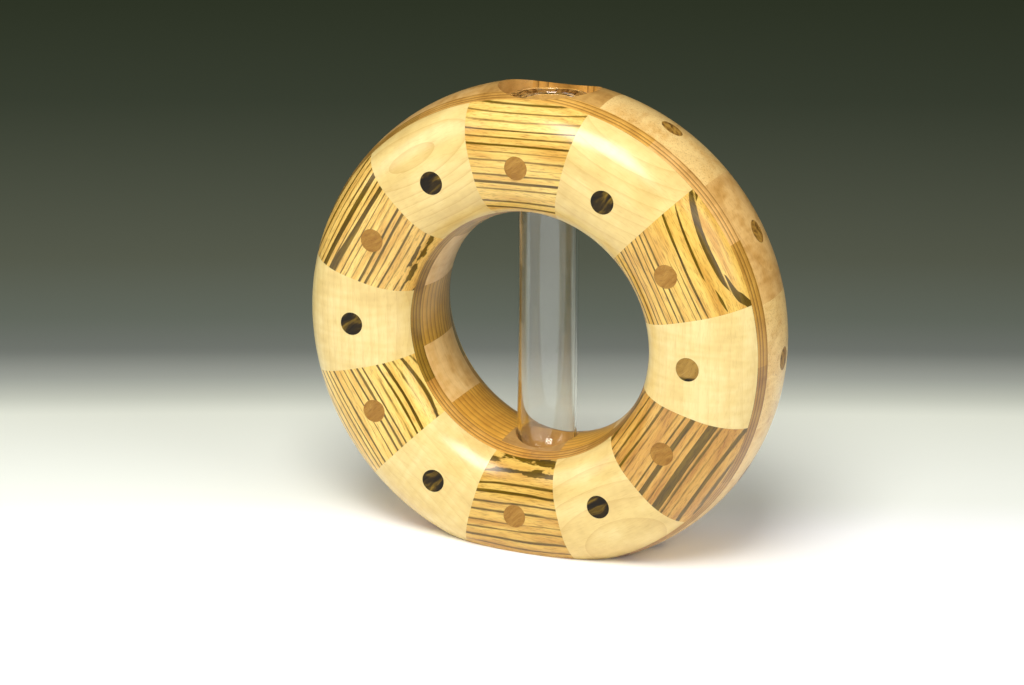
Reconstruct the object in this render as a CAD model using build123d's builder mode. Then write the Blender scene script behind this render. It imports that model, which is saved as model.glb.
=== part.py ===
from build123d import *
import math
import os

# Donut vase: a turned ring of segmented wood with a glass tube down its middle.
# Millimetres, +Z up. The ring's axis lies along Y and its front face looks along -Y.
# The origin is the centre of the foot. Clock hours are read from the front.

os.makedirs("parts", exist_ok=True)

# Ring
ring_diameter = 200.0
hole_diameter = 97.2
crown_inset = 0.4
crown_forward = 2.6
foot_flat_depth = 11.0
segment_count = 12

# Layers of the glue-up, from either face inwards
face_ring_thickness = 12.8
thin_ring_thickness = 6.0
centre_ring_thickness = 30.4
core_width = 25.4
centre_ring_twist = 1.1

# Turned section: how far rim, hole and faces rise, as shares of its width and half depth,
# and the corners that round them off, as shares of its width
rim_rise_share = 0.274
hole_rise_share = 0.205
face_rise_share = 0.17
outer_corner_share = 0.4025
inner_corner_share = 0.3642

# Plugs
plug_diameter = 9.5
plug_circle_inset = 2.3
face_plug_depth = 10.0
rim_plug_depth = 10.0
glue_line = 0.05

# Glass tube, its bore and the round recess that its lip sits in
tube_diameter = 24.6
tube_wall = 1.3
socket_depth = 10.8
lip_diameter = 32.0
lip_thickness = 1.8
mouth_share = 0.607
neck_radius = 0.6
bore_clearance = 0.7
socket_clearance = 0.3
recess_diameter = 41.0
recess_depth = 8.0

# Overrun of every cut past the surface that it opens
overrun = 2.0

# Derived sizes
ring_radius = ring_diameter / 2
hole_radius = hole_diameter / 2
middle_radius = (ring_radius + hole_radius) / 2
face_crown_radius = middle_radius - crown_inset
core_radius = hole_radius + core_width
plug_circle_radius = middle_radius - plug_circle_inset
plug_radius = plug_diameter / 2
half_turn = 180
segment_arc = 2 * half_turn / segment_count
half_centre = centre_ring_thickness / 2
half_thin = half_centre + thin_ring_thickness
half_depth = half_thin + face_ring_thickness
section_width = ring_radius - hole_radius
rim_rise = rim_rise_share * section_width
hole_rise = hole_rise_share * section_width
face_rise = face_rise_share * half_depth
rim_arc_radius = (half_depth**2 + rim_rise**2) / (2 * rim_rise)
hole_arc_radius = (half_depth**2 + hole_rise**2) / (2 * hole_rise)
face_arc_radius = ((section_width / 2) ** 2 + face_rise**2) / (2 * face_rise)
outer_corner_radius = outer_corner_share * section_width
inner_corner_radius = inner_corner_share * section_width
foot_below_centre = ring_radius - foot_flat_depth
vase_height = foot_below_centre + ring_radius
seat_height = vase_height - recess_depth
ring_centre = (0, 0, foot_below_centre)
ring_axis = Axis(ring_centre, (0, 1, 0))
tube_radius = tube_diameter / 2
tube_bore_radius = tube_radius - tube_wall
bore_radius = tube_radius + bore_clearance
lip_radius = lip_diameter / 2
recess_radius = recess_diameter / 2
lip_edge_radius = lip_thickness / 2
mouth_radius = mouth_share * (lip_radius - lip_edge_radius - tube_bore_radius)
lip_top = seat_height + lip_thickness
tube_bottom = foot_below_centre - hole_radius - socket_depth
hours = range(1, segment_count + 1)


def radial_plane(clock):
    """Half plane of the turned section at a clock angle: x runs outwards, y towards the back."""
    angle = math.radians(clock)
    return Plane(
        origin=ring_centre,
        x_dir=(math.sin(angle), 0, math.cos(angle)),
        z_dir=(-math.cos(angle), 0, math.sin(angle)),
    )


def ring_section(clock, front, back, inner=None, outer=None):
    """The turned section between two depths, and between two radii where they are given."""
    inner = hole_radius - overrun if inner is None else inner
    outer = ring_radius + overrun if outer is None else outer
    with BuildSketch(radial_plane(clock)) as section:
        with Locations(Location((ring_radius - rim_arc_radius, -crown_forward, 0), (0, 0, half_turn))):
            Circle(rim_arc_radius)
        with Locations((hole_radius + hole_arc_radius, -crown_forward)):
            Circle(hole_arc_radius, mode=Mode.INTERSECT)
        with Locations((face_crown_radius, face_arc_radius - half_depth)):
            Circle(face_arc_radius, mode=Mode.INTERSECT)
        with Locations((face_crown_radius, half_depth - face_arc_radius)):
            Circle(face_arc_radius, mode=Mode.INTERSECT)
        fillet(section.vertices().sort_by(Axis.X)[-2:], outer_corner_radius)
        fillet(section.vertices().sort_by(Axis.X)[:2], inner_corner_radius)
        with Locations(((inner + outer) / 2, (front + back) / 2)):
            Rectangle(outer - inner, back - front, mode=Mode.INTERSECT)
    return section.sketch


def segment_blank(clock, front, back, inner=None, outer=None):
    """One glued segment about a clock angle, turned to shape and sanded flat at the foot."""
    section = ring_section(clock - segment_arc / 2, front, back, inner, outer)
    with BuildPart() as blank:
        revolve(section, axis=ring_axis, revolution_arc=segment_arc)
        with Locations((0, 0, vase_height / 2)):
            Box(ring_diameter, ring_diameter, vase_height, mode=Mode.INTERSECT)
    return blank.part


def face_plug_plane(clock, side):
    """Floor of a face plug's hole, looking out of the front (side -1) or the back (side 1)."""
    angle = math.radians(clock)
    return Plane(
        origin=(
            plug_circle_radius * math.sin(angle),
            side * (half_depth - face_plug_depth),
            foot_below_centre + plug_circle_radius * math.cos(angle),
        ),
        z_dir=(0, side, 0),
    )


def rim_plug_plane(clock):
    """Floor of a rim plug's hole, looking outwards."""
    angle = math.radians(clock)
    floor_radius = ring_radius - rim_plug_depth
    return Plane(
        origin=(
            floor_radius * math.sin(angle),
            0,
            foot_below_centre + floor_radius * math.cos(angle),
        ),
        x_dir=(0, 1, 0),
        z_dir=(math.sin(angle), 0, math.cos(angle)),
    )


def drilled(blank, floor_plane, depth):
    """A segment with the hole for its plug."""
    with BuildPart() as piece:
        add(blank)
        with BuildSketch(floor_plane):
            Circle(plug_radius)
        extrude(amount=depth + overrun, mode=Mode.SUBTRACT)
    return piece.part


def plug(blank, floor_plane, depth):
    """A plug glued into its segment and turned flush with it."""
    with BuildPart() as piece:
        with BuildSketch(floor_plane):
            Circle(plug_radius - glue_line)
        extrude(amount=depth + overrun)
        add(blank, mode=Mode.INTERSECT)
    return piece.part


# One bore for the tube: from the recess in the top of the ring down into the socket where it stands
with BuildPart() as tube_bore:
    with BuildSketch(Plane.XY.offset(tube_bottom - socket_clearance)):
        Circle(bore_radius)
    extrude(amount=seat_height - tube_bottom + socket_clearance)
    with BuildSketch(Plane.XY.offset(seat_height)):
        Circle(recess_radius)
    extrude(amount=recess_depth + overrun)


def export_piece(piece, name):
    """Writes one named piece."""
    piece.label = name
    export_step(piece, f"parts/{name}.step")


# Face rings: twelve segments a side, each with its plug
for face_name, side in (("front", -1), ("back", 1)):
    near = side * half_thin
    far = side * half_depth
    plugs = {"plain": [], "striped": []}
    for hour in hours:
        clock = hour * segment_arc
        blank = segment_blank(clock, min(near, far), max(near, far))
        floor_plane = face_plug_plane(clock, side)
        wood = "striped" if hour % 2 else "plain"
        plugs[wood].append(plug(blank, floor_plane, face_plug_depth))
        export_piece(drilled(blank, floor_plane, face_plug_depth), f"{face_name}_segment_{hour:02d}")
    for wood, pieces in plugs.items():
        export_piece(Compound(children=pieces), f"{face_name}_{wood}_plugs")

# Thin rings: twelve segments a side, set half a segment round from the faces
for face_name, side in (("front", -1), ("back", 1)):
    near = side * half_centre
    far = side * half_thin
    pieces = []
    for hour in hours:
        clock = (hour + 1 / 2) * segment_arc
        with BuildPart() as thin_segment:
            add(segment_blank(clock, min(near, far), max(near, far)))
            add(tube_bore.part, mode=Mode.SUBTRACT)
        pieces.append(thin_segment.part)
    export_piece(Compound(children=pieces), f"{face_name}_thin_ring")

# Centre ring: a core of twelve segments inside a rim of twelve, turned a little round
rim_plugs = []
for hour in hours:
    clock = hour * segment_arc + centre_ring_twist
    with BuildPart() as core_segment:
        add(segment_blank(clock, -half_centre, half_centre, outer=core_radius - glue_line))
        add(tube_bore.part, mode=Mode.SUBTRACT)
    export_piece(core_segment.part, f"core_segment_{hour:02d}")
    blank = segment_blank(clock, -half_centre, half_centre, inner=core_radius)
    if hour % (segment_count / 2) == 0:
        with BuildPart() as rim_segment:
            add(blank)
            add(tube_bore.part, mode=Mode.SUBTRACT)
        export_piece(rim_segment.part, f"rim_segment_{hour:02d}")
    else:
        floor_plane = rim_plug_plane(clock)
        rim_plugs.append(plug(blank, floor_plane, rim_plug_depth))
        export_piece(drilled(blank, floor_plane, rim_plug_depth), f"rim_segment_{hour:02d}")
export_piece(Compound(children=rim_plugs), "rim_plugs")

# Glass tube: round bottom, straight wall and a flared lip that hangs on the floor of the recess
with BuildPart() as glass_tube:
    with BuildSketch(Plane.XZ):
        with BuildLine():
            bowl = TangentArc((0, tube_bottom), (tube_radius, tube_bottom + tube_radius), tangent=(1, 0))
            wall_line = Line(bowl @ 1, (tube_radius, seat_height - neck_radius))
            neck = TangentArc(wall_line @ 1, (tube_radius + neck_radius, seat_height), tangent=(0, 1))
            underside = Line(neck @ 1, (lip_radius - lip_edge_radius, seat_height))
            edge = TangentArc(underside @ 1, (lip_radius - lip_edge_radius, lip_top), tangent=(1, 0))
            lip_line = Line(edge @ 1, (tube_bore_radius + mouth_radius, lip_top))
            mouth = TangentArc(lip_line @ 1, (tube_bore_radius, lip_top - mouth_radius), tangent=(-1, 0))
            bore_line = Line(mouth @ 1, (tube_bore_radius, tube_bottom + tube_radius))
            inner_bowl = TangentArc(bore_line @ 1, (0, tube_bottom + tube_wall), tangent=(0, -1))
            Line(inner_bowl @ 1, bowl @ 0)
        make_face()
    revolve(axis=Axis.Z)
export_piece(glass_tube.part, "glass_tube")
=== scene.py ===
import math
import bpy
import numpy as np
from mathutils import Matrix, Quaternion, Vector

# Donut vase: a ring turned from glued segments of zebrano and maple, with a glass tube across
# its hole. Metres, +Z up, the ring's axis along Y. Clock hours are read from the front, which
# looks along -Y. The figure of the woods is laid out in millimetres.

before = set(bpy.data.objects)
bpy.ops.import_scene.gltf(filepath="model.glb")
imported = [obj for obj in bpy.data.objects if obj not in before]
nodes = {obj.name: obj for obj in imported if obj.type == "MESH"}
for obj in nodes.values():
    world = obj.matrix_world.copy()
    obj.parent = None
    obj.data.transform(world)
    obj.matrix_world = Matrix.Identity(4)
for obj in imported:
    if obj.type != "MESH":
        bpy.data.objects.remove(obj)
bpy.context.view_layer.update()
print("frame loaded:", len(nodes), "nodes")

millimetres = 1000   # in one metre
hours = range(1, 13)
faces = ("front", "back")

ring = {
    "centre": (0.0, 0.0, 0.089),     # middle of the hole
    "plugCircle": 0.072,             # radius on which the face plugs sit
    "hourArc": 30.0,                 # degrees a segment takes
    "coreTwist": 1.1,                # degrees the centre ring is turned round
}


def linear(hexColour):
    # sRGB hex to linear RGBA: c/12.92 below 0.04045, else ((c+0.055)/1.055)^2.4
    c = np.array([int(hexColour[i:i + 2], 16) for i in (1, 3, 5)]) / 255.0
    rgb = np.where(c <= 0.04045, c / 12.92, ((c + 0.055) / 1.055) ** 2.4)
    return (*rgb.tolist(), 1.0)


def addNode(tree, kind, inputs=(), stops=(), interpolation="LINEAR", **settings):
    # One shader node: its settings, its inputs by place or by name, as values or as sockets to
    # link, and the (place, hex colour) stops of a ramp. It gives the node's outputs.
    node = tree.nodes.new("ShaderNode" + kind)
    for key, value in settings.items():
        setattr(node, key, value)
    for key, value in inputs.items() if isinstance(inputs, dict) else enumerate(inputs):
        if isinstance(value, bpy.types.NodeSocket):
            tree.links.new(value, node.inputs[key])
        else:
            node.inputs[key].default_value = value
    if stops:
        ramp = node.color_ramp
        ramp.interpolation = interpolation
        while len(ramp.elements) < len(stops):
            ramp.elements.new(0.5)
        for element, (place, colour) in zip(ramp.elements, sorted(stops)):
            element.position = place
            element.color = linear(colour)
    return node.outputs


def newMaterial(name):
    material = bpy.data.materials.new(name)
    material.use_nodes = True
    tree = material.node_tree
    tree.nodes.clear()
    return material, tree


def dress(name, material):
    mesh = nodes[name].data
    mesh.materials.clear()
    mesh.materials.append(material)


# Figure that all the woods share

board = {
    "seedStep": (37.0, 11.0, 23.0),      # mm through the noise from one board to the next
    "wanderStretch": (0.4, 1.0, 1.0),    # lines wander more slowly along the board
    "ovalDepth": 0.25,                   # how fast an oval closes in the depth
}
unstretched = (1.0, 1.0, 1.0)


def segmentCoordinates(tree, clock):
    # Object coordinates in mm, turned so that X runs along the segment's chord, Y into the depth
    # and Z outwards from the ring's centre, with zero at the segment's plug
    angle = math.radians(clock)
    centre = np.array(ring["centre"]) * millimetres
    along = np.array([math.cos(angle), 0, -math.sin(angle)])
    outwards = np.array([math.sin(angle), 0, math.cos(angle)])
    place = (-centre @ along, 0, -centre @ outwards - ring["plugCircle"] * millimetres)
    coordinates = addNode(tree, "TexCoord")["Object"]
    return addNode(tree, "Mapping", {"Vector": coordinates, "Location": place,
                                     "Rotation": (0, -angle, 0), "Scale": (millimetres,) * 3},
                   vector_type="POINT")[0]


def softFigure(tree, position, figure, output="Fac"):
    # noise with lumps about figure["size"] mm across, drawn out along the board by its stretch
    drawn = addNode(tree, "VectorMath", (position, figure["stretch"]), operation="MULTIPLY")[0]
    return addNode(tree, "TexNoise", {"Vector": drawn, "Scale": 1.0 / figure["size"],
                                      "Detail": figure["detail"],
                                      "Roughness": figure.get("roughness", 0.5)})[output]


def layerSwell(tree, layers, size, shift=0.0):
    # noise across the growth layers only, with swells about this many mm wide
    place = addNode(tree, "Math", (layers, shift), operation="ADD")[0]
    place = addNode(tree, "Math", (place, size), operation="DIVIDE")[0]
    return addNode(tree, "TexNoise", {"W": place, "Scale": 1.0, "Detail": 2.0},
                   noise_dimensions="1D")["Fac"]


def bentLine(tree, position, cut):
    # signed distance in mm from a line that slopes and bends along the board:
    # v - slope*u - bend*u^2, with the depth in place of v where the layers lie in the depth
    along, depth, outwards = addNode(tree, "SeparateXYZ", (position,))
    across = depth if cut.get("layeredInDepth") else outwards
    across = addNode(tree, "Math", (along, -cut.get("slope", 0.0), across),
                     operation="MULTIPLY_ADD")[0]
    square = addNode(tree, "Math", (along, along), operation="MULTIPLY")[0]
    return addNode(tree, "Math", (square, -cut.get("bend", 0.0), across),
                   operation="MULTIPLY_ADD")[0]


def growthLayers(tree, position, cut):
    # Place across the growth layers in mm: distance from the middle of an oval where the saw met
    # the heart, else from a bent line, and both wandered by soft noise.
    # It gives the layers, the wandered position and the position moved by the board's seed.
    shift = tuple(cut["seed"] * step for step in board["seedStep"])
    seeded = addNode(tree, "VectorMath", (position, shift), operation="ADD")[0]
    wander = softFigure(tree, seeded, {"stretch": board["wanderStretch"],
                                       "size": cut["wanderSize"], "detail": 1.0}, "Color")
    wander = addNode(tree, "VectorMath", (wander, (0.5, 0.5, 0.5)), operation="SUBTRACT")[0]
    moved = addNode(tree, "VectorMath", (wander, (cut["wander"],) * 3, position),
                    operation="MULTIPLY_ADD")[0]
    if "oval" not in cut:
        return bentLine(tree, moved, cut), moved, seeded
    along, outwards, longHalf, shortHalf = cut["oval"]
    centred = addNode(tree, "VectorMath", (moved, (along, 0, outwards)), operation="SUBTRACT")[0]
    squeeze = (shortHalf / longHalf, board["ovalDepth"], 1.0)
    squeezed = addNode(tree, "VectorMath", (centred, squeeze), operation="MULTIPLY")[0]
    layers = addNode(tree, "VectorMath", (squeezed,), operation="LENGTH")["Value"]
    return layers, moved, seeded


lacquer = {
    "Roughness": 0.42,             # soft sheen of the wood itself
    "IOR": 1.5,
    "Specular IOR Level": 0.10,
    "Coat Weight": 1.0,            # clear coat rubbed down, a little glossier than the wood
    "Coat Roughness": 0.24,
    "Coat IOR": 1.5,
}
poreRelief = 0.35   # strength of the pores' bump under the lacquer


def satinLacquer(tree, colour, pores, depth, **changes):
    # clear lacquer rubbed to a satin: broad soft highlights, with open pores just felt below it
    relief = addNode(tree, "Bump", {"Strength": poreRelief, "Distance": depth, "Height": pores})[0]
    shader = addNode(tree, "BsdfPrincipled",
                     {**lacquer, **changes, "Base Color": colour, "Normal": relief})[0]
    addNode(tree, "OutputMaterial", {"Surface": shader})


# Zebrano, quarter-sawn and turned: golden open-pored ground, olive-brown growth lines 2 to 4 mm
# apart. Sizes in mm; a cut changes what differs on its board.

zebrano = {
    "ground": ("#CB963C", "#E2B554", "#EFC866"),
    "groundStops": (0.32, 0.52, 0.74),
    "groundFigure": {"stretch": (0.12, 1.0, 1.0), "size": 3.4, "detail": 3.0},
    "ink": ("#4A3600", "#664E00", "#86680E"),       # the dark lines
    "inkStops": (0.30, 0.55, 0.80),
    "darkness": 0.0,                                # more or less of the dark lines
    "lineShare": 0.5,
    "lineEdge": (0.20, 0.50),
    "jitterSize": 2.3,                              # in line spacings
    "jitterShift": 50.0,
    "breadthShare": 0.9,                            # some lines broad and some thin
    "breadthSize": 5.5,
    "breadthShift": 91.0,
    "streakShare": 0.75,                            # lines broken up along the grain
    "streaks": {"stretch": (0.07, 1.0, 1.0), "size": 1.6, "detail": 3.0, "roughness": 0.6},
    "bandCore": 0.4,                                # share of a band's width that is full dark
    "bandEdge": 0.7,
    "burlFigure": {"stretch": (0.35, 0.6, 1.0), "size": 3.4, "detail": 3.0, "roughness": 0.6},
    "burlEdge": (0.55, 1.15),                       # in half lengths of the patch
    "burlLevel": 0.44,
    "burlContrast": 6.0,
    "fibres": {"stretch": (0.10, 1.0, 1.0), "size": 0.42, "detail": 2.0, "roughness": 0.6},
    "fibreStops": ((0.32, "#7A5420"), (0.50, "#FFFFFF")),
    "fibreShare": 0.42,
    "poreDepth": 0.00006,
}

# How each of the six boards lay. Bands, changes and burls are places outwards from the plug.
zebranoCuts = {
    12: {"seed": 1, "spacing": 2.9, "slope": 0.02, "wander": 1.3, "wanderSize": 20,
         "jitter": 0.7, "darkness": -0.06, "streakShare": 0.25,
         "ground": ("#D2A048", "#E8C062", "#F2D078")},
    2: {"seed": 2, "spacing": 2.3, "slope": -0.06, "wander": 1.4, "wanderSize": 18, "jitter": 0.9,
        "changes": ((4.0, 8.0, -0.55),),
        "bands": ({"at": 18.0, "bend": 0.0052, "width": 2.0, "strength": 1.5},
                  {"at": 13.3, "bend": 0.0040, "width": 1.0, "strength": 0.85},
                  {"at": 8.4, "slope": -0.05, "bend": 0.002, "width": 0.8, "strength": 0.8})},
    4: {"seed": 3, "spacing": 3.4, "slope": -0.04, "wander": 1.6, "wanderSize": 20,
        "jitter": 0.9, "darkness": -0.02,
        "ground": ("#B27C34", "#CA9742", "#DAAC54"),
        "bands": ({"at": 10.0, "slope": -0.04, "width": 3.6, "strength": 0.8},
                  {"at": 2.0, "slope": -0.04, "width": 1.1, "strength": 1.1})},
    6: {"seed": 4, "spacing": 3.9, "slope": 0.02, "wander": 3.4, "wanderSize": 15,
        "jitter": 1.1, "darkness": -0.03,
        "ground": ("#C28F3A", "#D7AC50", "#E4BF61"),
        "burl": (-2.0, -19.0, 19.0, 4.5, 0.9)},
    8: {"seed": 5, "spacing": 2.7, "slope": 0.05, "wander": 1.2, "wanderSize": 22, "jitter": 0.8,
        "ground": ("#E2B252", "#F3CA69", "#FBDA7E")},
    10: {"seed": 6, "spacing": 2.7, "wander": 1.6, "wanderSize": 18, "jitter": 0.9,
         "ground": ("#D4A24A", "#EABE61", "#F5D075"),
         "bands": ({"at": 13.2, "width": 1.6, "strength": 1.3},
                   {"at": 8.4, "slope": -0.04, "width": 1.2, "strength": 1.1}),
         "burl": (0.0, -20.0, 15.0, 4.5, 1.0)},
}


def zebranoBands(tree, line, moved, cut):
    # where the lines thin out or crowd, and broad dark layers with their own place and bend
    outwards = addNode(tree, "SeparateXYZ", (moved,))[2]
    for low, high, amount in cut.get("changes", ()):
        change = addNode(tree, "MapRange", {"Value": outwards, "From Min": low, "From Max": high,
                                            "To Min": 0.0, "To Max": amount},
                         interpolation_type="SMOOTHSTEP")["Result"]
        line = addNode(tree, "Math", (line, change), operation="ADD")[0]
    for band in cut.get("bands", ()):
        offset = addNode(tree, "Math", (bentLine(tree, moved, band), band["at"]),
                         operation="SUBTRACT")[0]
        offset = addNode(tree, "Math", (offset,), operation="ABSOLUTE")[0]
        core = band["width"] * cut["bandCore"]
        near = addNode(tree, "MapRange", {"Value": offset, "From Min": core,
                                          "From Max": core + cut["bandEdge"],
                                          "To Min": band["strength"], "To Max": 0.0},
                       interpolation_type="SMOOTHSTEP")["Result"]
        line = addNode(tree, "Math", (line, near), operation="ADD")[0]
    return line


def zebranoBurl(tree, line, position, seeded, cut):
    # wild dark figure in one patch, where the grain runs round a flaw
    along, outwards, longHalf, shortHalf, amount = cut["burl"]
    centred = addNode(tree, "VectorMath", (position, (along, 0, outwards)),
                      operation="SUBTRACT")[0]
    centred = addNode(tree, "VectorMath", (centred, (1 / longHalf, 0.0, 1 / shortHalf)),
                      operation="MULTIPLY")[0]
    patch = addNode(tree, "VectorMath", (centred,), operation="LENGTH")["Value"]
    wild = softFigure(tree, seeded, cut["burlFigure"])
    wild = addNode(tree, "Math", (wild, cut["burlLevel"]), operation="SUBTRACT")[0]
    inside = addNode(tree, "MapRange", {"Value": patch, "From Min": cut["burlEdge"][0],
                                        "From Max": cut["burlEdge"][1],
                                        "To Min": cut["burlContrast"] * amount, "To Max": 0.0},
                     interpolation_type="SMOOTHSTEP")["Result"]
    return addNode(tree, "Math", (wild, inside, line), operation="MULTIPLY_ADD")[0]


def zebranoMaterial(name, clock, cut):
    material, tree = newMaterial(name)
    position = segmentCoordinates(tree, clock)
    layers, moved, seeded = growthLayers(tree, position, cut)
    spacing = cut["spacing"]
    jitter = layerSwell(tree, layers, spacing * cut["jitterSize"],
                        cut["seed"] * cut["jitterShift"])
    phase = addNode(tree, "Math", (layers, spacing), operation="DIVIDE")[0]
    phase = addNode(tree, "Math", (jitter, cut["jitter"], phase), operation="MULTIPLY_ADD")[0]
    phase = addNode(tree, "Math", (phase, 2 * math.pi), operation="MULTIPLY")[0]
    wave = addNode(tree, "Math", (phase,), operation="SINE")[0]
    breadth = layerSwell(tree, layers, cut["breadthSize"], cut["seed"] * cut["breadthShift"])
    streaks = softFigure(tree, seeded, cut["streaks"])
    level = cut["darkness"] - 0.5 * (cut["breadthShare"] + cut["streakShare"])
    line = addNode(tree, "Math", (wave, cut["lineShare"], level), operation="MULTIPLY_ADD")[0]
    for part, share in ((breadth, cut["breadthShare"]), (streaks, cut["streakShare"])):
        line = addNode(tree, "Math", (part, share, line), operation="MULTIPLY_ADD")[0]
    line = zebranoBands(tree, line, moved, cut)
    if "burl" in cut:
        line = zebranoBurl(tree, line, position, seeded, cut)
    dark = addNode(tree, "MapRange", {"Value": line, "From Min": cut["lineEdge"][0],
                                      "From Max": cut["lineEdge"][1]},
                   interpolation_type="SMOOTHSTEP")["Result"]
    ground = addNode(tree, "ValToRGB", (softFigure(tree, seeded, cut["groundFigure"]),),
                     stops=list(zip(cut["groundStops"], cut["ground"])))["Color"]
    ink = addNode(tree, "ValToRGB", (streaks,),
                  stops=list(zip(cut["inkStops"], cut["ink"])))["Color"]
    colour = addNode(tree, "Mix", {0: dark, 6: ground, 7: ink}, data_type="RGBA")[2]
    fibres = softFigure(tree, seeded, cut["fibres"])
    shade = addNode(tree, "ValToRGB", (fibres,), stops=cut["fibreStops"])["Color"]
    colour = addNode(tree, "Mix", {0: cut["fibreShare"], 6: colour, 7: shade},
                     data_type="RGBA", blend_type="MULTIPLY")[2]
    satinLacquer(tree, colour, fibres, cut["poreDepth"])
    return material


# Hard maple: close-grained and cloudy, with faint growth lines and a little ripple across the
# grain. The core and the thin rings are drawn the same way, in their own colours.

maple = {
    "jitter": 1.0,
    "jitterSize": 2.5,               # in line spacings
    "edgePower": 3.0,                # higher makes each growth line finer
    "toneStops": (0.30, 0.50, 0.72),
    "cloudStretch": (0.5, 0.6, 1.0),
    "cloudSize": 9.0,
    "cloudShare": 0.8,
    "rippleFigure": {"stretch": (1.0, 0.4, 0.15), "size": 2.6, "detail": 1.0},
    "ripple": 0.15,
    "fleckStretch": 0.10,            # near 1 makes the flecks round
    "fleckSize": 0.45,
    "fleckStrength": 0.16,
    "fleckStops": (0.30, 0.48),
    "poreDepth": 0.00003,
}

creamMaple = {"dark": "#D3B46D", "mid": "#E2C67D", "light": "#EBD490", "line": "#C2994F"}
mapleCuts = {
    1: {"seed": 11, "spacing": 4.6, "slope": 0.10, "bend": 0.004, "wander": 4, "wanderSize": 26,
        "lineStrength": 0.4, "edgePower": 6.0},
    3: {"seed": 12, "spacing": 3.6, "wander": 3, "wanderSize": 20,
        "lineStrength": 0.16, "ripple": 0.4},
    5: {"seed": 13, "spacing": 6.4, "oval": (-2.0, 15.5, 13.0, 6.5), "wander": 4,
        "wanderSize": 24, "jitter": 0.3, "lineStrength": 0.42, "edgePower": 7.0},
    7: {"seed": 14, "spacing": 4.2, "slope": -0.25, "wander": 4, "wanderSize": 26,
        "lineStrength": 0.20, "ripple": 0.3},
    9: {"seed": 15, "spacing": 3.2, "wander": 3, "wanderSize": 20,
        "lineStrength": 0.22, "ripple": 0.35},
    11: {"seed": 16, "spacing": 3.1, "oval": (-4.0, 11.5, 14.0, 4.4), "wander": 3,
         "wanderSize": 22, "jitter": 0.3, "lineStrength": 0.5, "edgePower": 6.0},
}


def boardTonesAndPaintedShade(tree, colour, tones):
    # one tone for each twelfth of the ring, from the top clockwise: angle = atan2(x, z - centre);
    # partly the wood's own tone and partly painted shade, darkest from eight to ten o'clock
    x, _, z = addNode(tree, "SeparateXYZ", (addNode(tree, "TexCoord")["Object"],))
    height = addNode(tree, "Math", (z, ring["centre"][2]), operation="SUBTRACT")[0]
    angle = addNode(tree, "Math", (x, height), operation="ARCTAN2")[0]
    turn = addNode(tree, "Math", (angle, 2 * math.pi), operation="DIVIDE")[0]
    turn = addNode(tree, "Math", (turn,), operation="FRACT")[0]
    stops = [(place / len(tones), tone) for place, tone in enumerate(tones)]
    tone = addNode(tree, "ValToRGB", (turn,), stops=stops, interpolation="CONSTANT")["Color"]
    return addNode(tree, "Mix", {0: 1.0, 6: colour, 7: tone},
                   data_type="RGBA", blend_type="MULTIPLY")[2]


def mapleMaterial(name, clock, cut):
    material, tree = newMaterial(name)
    cut = {**maple, **cut}
    position = segmentCoordinates(tree, clock)
    layers, _, seeded = growthLayers(tree, position, cut)
    spacing = cut["spacing"]
    jitter = layerSwell(tree, layers, spacing * cut["jitterSize"])
    phase = addNode(tree, "Math", (layers, spacing), operation="DIVIDE")[0]
    phase = addNode(tree, "Math", (jitter, cut["jitter"], phase), operation="MULTIPLY_ADD")[0]
    phase = addNode(tree, "Math", (phase,), operation="FRACT")[0]
    edge = addNode(tree, "Math", (phase, cut["edgePower"]), operation="POWER")[0]
    clouds = softFigure(tree, seeded, {"stretch": cut["cloudStretch"], "size": cut["cloudSize"],
                                       "detail": 3.0, "roughness": 0.55})
    ripple = softFigure(tree, seeded, cut["rippleFigure"])
    tone = addNode(tree, "Math", (clouds, cut["cloudShare"]), operation="MULTIPLY")[0]
    tone = addNode(tree, "Math", (ripple, cut["ripple"], tone), operation="MULTIPLY_ADD")[0]
    tones = (cut["dark"], cut["mid"], cut["light"])
    colour = addNode(tree, "ValToRGB", (tone,), stops=list(zip(cut["toneStops"], tones)))["Color"]
    lines = addNode(tree, "Math", (edge, cut["lineStrength"]), operation="MULTIPLY")[0]
    colour = addNode(tree, "Mix", {0: lines, 6: colour, 7: linear(cut["line"])},
                     data_type="RGBA")[2]
    # tones round the thin rings: the wood's own tone with painted shade, darkest from eight to ten
    # o'clock
    if "boardTonesAndPaintedShade" in cut:
        colour = boardTonesAndPaintedShade(tree, colour, cut["boardTonesAndPaintedShade"])
    flecks = softFigure(tree, seeded, {"stretch": (cut["fleckStretch"], 1.0, 1.0),
                                       "size": cut["fleckSize"], "detail": 2.0, "roughness": 0.6})
    shade = addNode(tree, "ValToRGB", (flecks,),
                    stops=list(zip(cut["fleckStops"], (cut["line"], "#FFFFFF"))))["Color"]
    colour = addNode(tree, "Mix", {0: cut["fleckStrength"], 6: colour, 7: shade},
                     data_type="RGBA", blend_type="MULTIPLY")[2]
    satinLacquer(tree, colour, flecks, cut["poreDepth"])
    return material


backSeeds = 20   # the back's boards are other cuts of the same woods
for hour in hours:
    clock = hour * ring["hourArc"]
    for face in faces:
        if hour % 2 == 0:
            cut = {**zebrano, **zebranoCuts[hour]}
            makeWood, wood = zebranoMaterial, "zebrano"
        else:
            cut = {**creamMaple, **mapleCuts[hour]}
            makeWood, wood = mapleMaterial, "maple"
        cut["seed"] += backSeeds if face == "back" else 0
        dress(f"{face}_segment_{hour:02d}", makeWood(f"{wood}_{face}_{hour:02d}", clock, cut))
print("face rings dressed")

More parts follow.
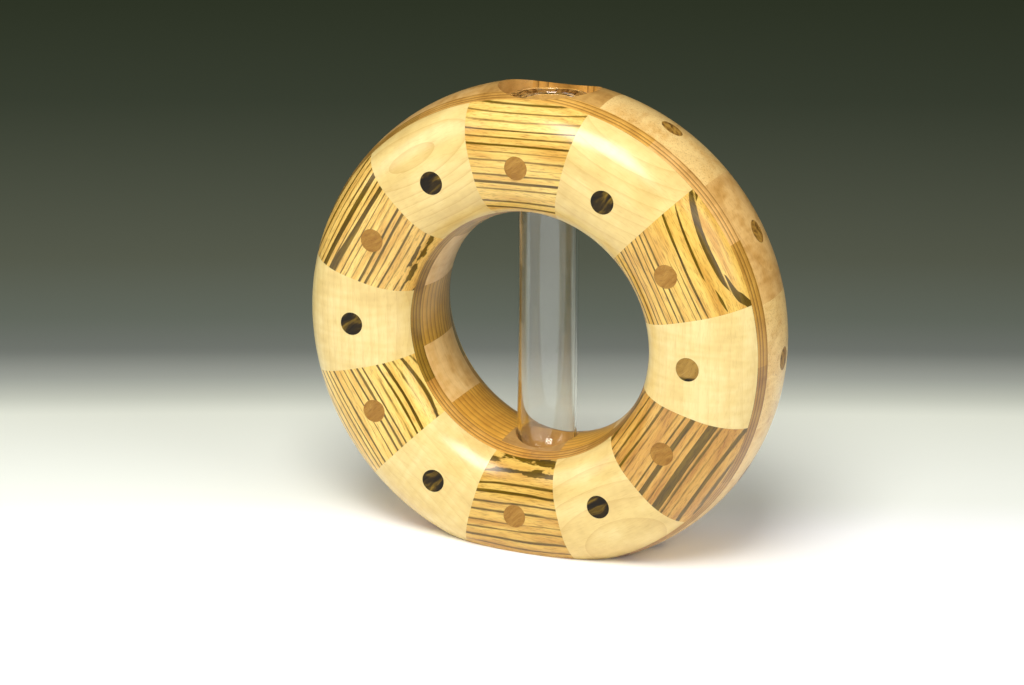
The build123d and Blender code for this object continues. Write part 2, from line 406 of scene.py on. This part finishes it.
# Core round the hole: plain-sawn boards seen on their edges, amber and brown by turns
core = {
    "seed": 40,
    "amber": {"dark": "#C4944E", "mid": "#DEB068", "light": "#EBC480", "line": "#A87A3C"},
    "brown": {"dark": "#AE822C", "mid": "#C49434", "light": "#D4A442", "line": "#5E400C"},
    "orange": {"dark": "#C08630", "mid": "#D8A03E", "light": "#E8B250", "line": "#8A5A14"},
    "socket": {"dark": "#8A6230", "mid": "#A47A40", "light": "#B68C50", "line": "#765022"},
    "woods": {5: "orange", 6: "socket", 7: "orange"},   # hours that differ from their turn
    "plainFigure": {"spacing": 5.0, "wander": 4, "wanderSize": 20, "lineStrength": 0.15,
                    "ripple": 0.4, "cloudSize": 6.0, "layeredInDepth": True},
    "linedFigure": {"spacing": 3.0, "wander": 1.5, "wanderSize": 24, "lineStrength": 0.75,
                    "ripple": 0.2, "layeredInDepth": True},
}

# Maple of the rim: peach under the lacquer, cloudy on some boards, speckled with fleck on others
rim = {
    "seed": 60,
    "peach": {"dark": "#BE8E44", "mid": "#DCB066", "light": "#EAC67E", "line": "#A27232"},
    "tan": {"dark": "#AC7C36", "mid": "#CA9A52", "light": "#DEB26C", "line": "#8E5E26"},
    "orange": {"dark": "#9C6824", "mid": "#BA8436", "light": "#D09C4C", "line": "#7E521A"},
    "top": {"dark": "#92682C", "mid": "#B08240", "light": "#C89A52", "line": "#74501C"},
    "woods": {2: "tan", 10: "orange", 11: "tan", 12: "top"},
    "figure": {"spacing": 6.0, "wander": 6, "wanderSize": 24, "lineStrength": 0.15,
               "ripple": 0.5, "cloudSize": 7.0},
    "speckledHours": (1, 3, 6, 9),
    "speckled": {"fleckStrength": 0.5, "fleckStretch": 0.6},
    "cloudy": {"fleckStrength": 0.25, "fleckStretch": 0.2},
}

for hour in hours:
    clock = hour * ring["hourArc"] + ring["coreTwist"]
    even = hour % 2 == 0
    wood = core["woods"].get(hour, "amber" if even else "brown")
    cut = {**core[wood], **core["plainFigure" if even else "linedFigure"],
           "seed": core["seed"] + hour}
    dress(f"core_segment_{hour:02d}", mapleMaterial(f"core_wood_{hour:02d}", clock, cut))
    flecks = rim["speckled" if hour in rim["speckledHours"] else "cloudy"]
    cut = {**rim[rim["woods"].get(hour, "peach")], **rim["figure"], **flecks,
           "seed": rim["seed"] + hour}
    dress(f"rim_segment_{hour:02d}", mapleMaterial(f"rim_maple_{hour:02d}", clock, cut))

# Thin rings: zebrano seen on the edge of the board, so its lines lie close together
thinRings = {
    "seeds": {"front": 80, "back": 81},
    "clock": 45,                     # degrees from the top, where the lines are laid out
    "cut": {"dark": "#C09654", "mid": "#E2B872", "light": "#F4D090", "line": "#5A4010",
            "spacing": 2.0, "wander": 0.8, "wanderSize": 16, "lineStrength": 0.85,
            "ripple": 0.2, "layeredInDepth": True, "jitter": 1.4,
            # partly the wood's own tone, partly painted shade: the darkest tones, from eight to
            # ten o'clock, are painted shade
            "boardTonesAndPaintedShade": ("#F4E0A8", "#FFF2E0", "#D8C484", "#C0AA68", "#D2BC84", "#E2CC98",
                           "#F0D8A0", "#E8D098", "#B4AA60", "#B6A862", "#CCBC84", "#E4D0A0")},
}
for face in faces:
    cut = {**thinRings["cut"], "seed": thinRings["seeds"][face]}
    dress(f"{face}_thin_ring", mapleMaterial(f"thin_zebrano_{face}", thinRings["clock"], cut))
print("centre and thin rings dressed")

# Plugs: walnut and wenge dowel, with streaks along the board that each was cut from
plugs = {
    "bendFigure": {"stretch": unstretched, "size": 11.0, "detail": 1.0},
    "bendReach": 7.0,                                   # mm
    "streakStretch": (0.12, 1.0, 1.0),
    "pores": {"stretch": (0.15, 1.0, 1.0), "size": 0.3, "detail": 1.0},
    "poreStops": ((0.32, "#6A4A26"), (0.5, "#FFFFFF")),
    "poreShare": 0.25,
    "poreDepth": 0.00004,
    "sheen": {"Coat Weight": 0.25, "Coat Roughness": 0.16},   # end grain drinks the lacquer
    "walnut": {"colours": ((0.30, "#936628"), (0.50, "#A17430"), (0.72, "#AE823C")),
               "streakSize": 1.6, "turn": (0, 0.6, 0)},
    "wenge": {"colours": ((0.40, "#171000"), (0.53, "#302200"), (0.64, "#624C0E"),
                          (0.76, "#8E6E1C")),
              "streakSize": 2.4, "turn": (0, 0.7, 0)},
    "rimWenge": {"colours": ((0.34, "#62441A"), (0.48, "#90682A"), (0.68, "#AE8438")),
                 "streakSize": 2.0, "turn": (0, 0.7, 0.6)},
    # the plug at three o'clock is of paler wood, with one dark edge below
    "paler": {"colours": ((0.34, "#94702E"), (0.66, "#AC8640")),
              "right": (0.055, 0.058), "above": (0.0850, 0.0864)},
}


def palerPlug(tree, colour, coordinates, streaks):
    x, _, z = addNode(tree, "SeparateXYZ", (coordinates,))
    sides = []
    for axis, (low, high) in ((x, plugs["paler"]["right"]), (z, plugs["paler"]["above"])):
        sides.append(addNode(tree, "MapRange", {"Value": axis, "From Min": low, "From Max": high},
                             interpolation_type="SMOOTHSTEP")["Result"])
    there = addNode(tree, "Math", sides, operation="MINIMUM")[0]
    pale = addNode(tree, "ValToRGB", (streaks,), stops=plugs["paler"]["colours"])["Color"]
    return addNode(tree, "Mix", {0: there, 6: colour, 7: pale}, data_type="RGBA")[2]


def plugMaterial(name, wood, onePaler=False):
    material, tree = newMaterial(name)
    coordinates = addNode(tree, "TexCoord")["Object"]
    position = addNode(tree, "Mapping", {"Vector": coordinates, "Rotation": wood["turn"],
                                         "Scale": (millimetres,) * 3}, vector_type="POINT")[0]
    bend = softFigure(tree, position, plugs["bendFigure"], "Color")
    bend = addNode(tree, "VectorMath", (bend, (plugs["bendReach"],) * 3, position),
                   operation="MULTIPLY_ADD")[0]
    streaks = softFigure(tree, bend, {"stretch": plugs["streakStretch"],
                                      "size": wood["streakSize"], "detail": 2.0})
    colour = addNode(tree, "ValToRGB", (streaks,), stops=wood["colours"])["Color"]
    if onePaler:
        colour = palerPlug(tree, colour, coordinates, streaks)
    pores = softFigure(tree, bend, plugs["pores"])
    shade = addNode(tree, "ValToRGB", (pores,), stops=plugs["poreStops"])["Color"]
    colour = addNode(tree, "Mix", {0: plugs["poreShare"], 6: colour, 7: shade},
                     data_type="RGBA", blend_type="MULTIPLY")[2]
    satinLacquer(tree, colour, pores, plugs["poreDepth"], **plugs["sheen"])
    return material


for face in faces:
    dress(f"{face}_plain_plugs", plugMaterial(f"walnut_plug_{face}", plugs["walnut"]))
    dress(f"{face}_striped_plugs", plugMaterial(f"wenge_plug_{face}", plugs["wenge"], True))
dress("rim_plugs", plugMaterial("wenge_plug_rim", plugs["rimWenge"]))

# Borosilicate laboratory glass, drawn tube: clear and hardly tinted, with a fire-polished lip
# that was flared by hand and is a little wavy, so its glints break up
glass = {
    "tint": "#FBFBF8",
    "ior": 1.47,
    "seat": 0.181,                   # height of the lip's underside
    "seatEdge": 0.0004,
    "waves": {"stretch": unstretched, "size": 5.0, "detail": 1.0},
    "waveHeight": 0.0009,
}


def makeGlass():
    material, tree = newMaterial("borosilicate_glass")
    coordinates = addNode(tree, "TexCoord")["Object"]
    height = addNode(tree, "SeparateXYZ", (coordinates,))[2]
    position = addNode(tree, "VectorMath", (coordinates, (millimetres,) * 3),
                       operation="MULTIPLY")[0]
    waves = softFigure(tree, position, glass["waves"])
    lip = addNode(tree, "MapRange", {"Value": height,
                                     "From Min": glass["seat"] - glass["seatEdge"],
                                     "From Max": glass["seat"] + glass["seatEdge"]},
                  interpolation_type="SMOOTHSTEP")["Result"]
    waves = addNode(tree, "Math", (waves, lip), operation="MULTIPLY")[0]
    relief = addNode(tree, "Bump", {"Height": waves, "Distance": glass["waveHeight"],
                                    "Strength": 1.0})[0]
    shader = addNode(tree, "BsdfPrincipled",
                     {"Base Color": linear(glass["tint"]), "Roughness": 0.0,
                      "IOR": glass["ior"], "Transmission Weight": 1.0, "Normal": relief})[0]
    addNode(tree, "OutputMaterial", {"Surface": shader})
    dress("glass_tube", material)
    nodes["glass_tube"].visible_shadow = False   # clear glass hardly darkens the wood below it


makeGlass()
print("plugs and glass dressed")

# Floor: a sweep of white paper, painted darker with distance behind the vase, from white to
# grey-green: painted fall-off of the light, not the paper's own colour
paperSweep = {
    "radius": 4.0,
    "corners": 96,
    "behind": (-0.397, 0.918, 0),    # away from the camera
    "roundShare": 0.3,               # how far the painted fall-off reaches round the vase
    "behindShare": 7.0,              # and how far straight behind it
    "span": 14.0,
    # painted fall-off of the light: white in front, painted shade darkening to grey-green behind
    "paintedFalloff": ((0.0, "#FFFFFD"), (0.018, "#F0F2E8"), (0.075, "#DEE0D2"), (0.087, "#BEC1B4"),
             (0.100, "#9FA299"), (0.123, "#70746D"), (0.151, "#646A5F"), (0.208, "#5B5F50"),
             (0.415, "#464D3D"), (0.61, "#414936")),
}


def makeFloor():
    # flat disc: radius times (cos a, sin a, 0) round a full turn
    turns = np.linspace(0, 2 * np.pi, paperSweep["corners"], endpoint=False)
    points = np.stack([np.cos(turns), np.sin(turns), np.zeros_like(turns)], axis=1)
    mesh = bpy.data.meshes.new("floor")
    mesh.from_pydata((points * paperSweep["radius"]).tolist(), [], [list(range(len(turns)))])
    disc = bpy.data.objects.new("floor", mesh)
    bpy.context.scene.collection.objects.link(disc)
    material, tree = newMaterial("paper_sweep")
    place = addNode(tree, "TexCoord")["Object"]
    radius = addNode(tree, "VectorMath", (place,), operation="LENGTH")["Value"]
    behind = addNode(tree, "VectorMath", (place, paperSweep["behind"]),
                     operation="DOT_PRODUCT")["Value"]
    reach = addNode(tree, "Math", (radius, paperSweep["roundShare"]), operation="MULTIPLY")[0]
    reach = addNode(tree, "Math", (behind, paperSweep["behindShare"], reach),
                    operation="MULTIPLY_ADD")[0]
    reach = addNode(tree, "Math", (reach, paperSweep["span"]), operation="DIVIDE")[0]
    # painted shade: the paper's colour darkens with distance behind the vase
    colour = addNode(tree, "ValToRGB", (reach,), stops=paperSweep["paintedFalloff"])["Color"]
    shader = addNode(tree, "BsdfDiffuse", {"Color": colour})[0]
    addNode(tree, "OutputMaterial", {"Surface": shader})
    mesh.materials.append(material)


room = {
    "light": "#FFFFFF",              # soft light from all sides, on dull surfaces only
    "strength": 0.29,
    "backdrop": "#22271E",           # what the camera, the gloss and the glass see
}


def makeWorld():
    world = bpy.data.worlds.new("studio")
    bpy.context.scene.world = world
    world.use_nodes = True
    tree = world.node_tree
    tree.nodes.clear()
    path = addNode(tree, "LightPath")
    seen = path["Is Camera Ray"]
    for ray in ("Is Transmission Ray", "Is Glossy Ray"):
        seen = addNode(tree, "Math", (seen, path[ray]), operation="MAXIMUM")[0]
    light = addNode(tree, "Background", {"Color": linear(room["light"]),
                                         "Strength": room["strength"]})[0]
    backdrop = addNode(tree, "Background", {"Color": linear(room["backdrop"]),
                                            "Strength": 1.0})[0]
    surface = addNode(tree, "MixShader", (seen, light, backdrop))[0]
    addNode(tree, "OutputWorld", {"Surface": surface})


lamps = {   # name: direction from the ring in metres, size in metres, power in watts
    "topSoftbox": ((0.09, -0.54, 0.88), (0.54, 0.48), 10.2),
    "leftSoftbox": ((-1.2, -0.60, 0.80), (0.9, 0.9), 6.2),
    "rightSoftbox": ((1.3, -0.35, 0.70), (0.9, 0.9), 6.4),
}


def makeLamps():
    target = Vector(ring["centre"])
    for name, (offset, size, power) in lamps.items():
        lamp = bpy.data.lights.new(name, "AREA")
        lamp.shape = "RECTANGLE"
        lamp.size, lamp.size_y = size
        lamp.energy = power
        holder = bpy.data.objects.new(name, lamp)
        holder.location = target + Vector(offset)
        holder.rotation_mode = "QUATERNION"
        holder.rotation_quaternion = (-Vector(offset)).to_track_quat("-Z", "Y")
        bpy.context.scene.collection.objects.link(holder)


view = {
    "place": (0.3962, -0.9525, 0.4160),
    "target": (-0.0124, -0.0081, 0.0812),
    "lens": 93.94,                   # mm, on a sensor 36 mm wide
    "sensor": 36.0,
    "roll": 0.156,                   # degrees
}


def makeCamera():
    camera = bpy.data.cameras.new("camera")
    camera.lens = view["lens"]
    camera.sensor_width = view["sensor"]
    camera.sensor_fit = "HORIZONTAL"
    holder = bpy.data.objects.new("camera", camera)
    place = Vector(view["place"])
    holder.location = place
    holder.rotation_mode = "QUATERNION"
    look = (Vector(view["target"]) - place).to_track_quat("-Z", "Y")
    holder.rotation_quaternion = look @ Quaternion((0, 0, 1), math.radians(view["roll"]))
    bpy.context.scene.collection.objects.link(holder)
    bpy.context.scene.camera = holder


makeFloor()
makeWorld()
makeLamps()
makeCamera()
bpy.context.scene.view_settings.view_transform = "Standard"
print("stage, lamps and camera placed")
